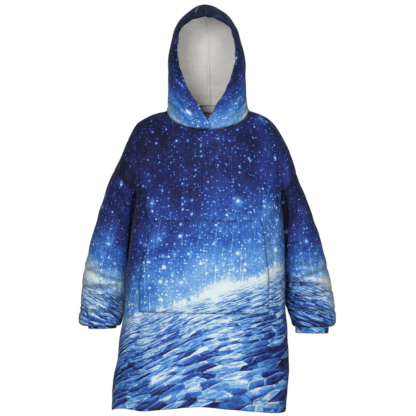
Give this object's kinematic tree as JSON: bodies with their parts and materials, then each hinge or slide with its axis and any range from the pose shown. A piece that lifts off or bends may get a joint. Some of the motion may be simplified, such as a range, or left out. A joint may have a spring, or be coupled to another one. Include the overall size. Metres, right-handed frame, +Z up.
{
  "type": "oversized pullover hoodie, worn and empty",
  "caption": "Hollow knee-length pullover hoodie in printed fleece, hood up, bloused sleeves with cuffs, and a front pouch pocket.",
  "frame": {"origin": "on the shoulder line in the middle of the neck, where a wearer's shoulders carry the garment", "axes": "+Z up, the front faces -Y, +X towards the wearer's left"},
  "size_m": [0.7623, 0.3228, 1.201],
  "materials": {
    "printed_fleece": "brushed polyester fleece, star-field print outside, off-white brushed reverse",
    "neck_tape": "plain light twill tape",
    "thread": "navy sewing thread"
  },
  "bodies": {
    "root": {"front": "printed_fleece", "back": "printed_fleece", "sleeve_right": "printed_fleece", "sleeve_left": "printed_fleece", "cuff_right": "printed_fleece", "cuff_left": "printed_fleece", "hood_right": "printed_fleece", "hood_left": "printed_fleece", "pocket": "printed_fleece", "neck_tape": "neck_tape"}
  },
  "joints": []
}
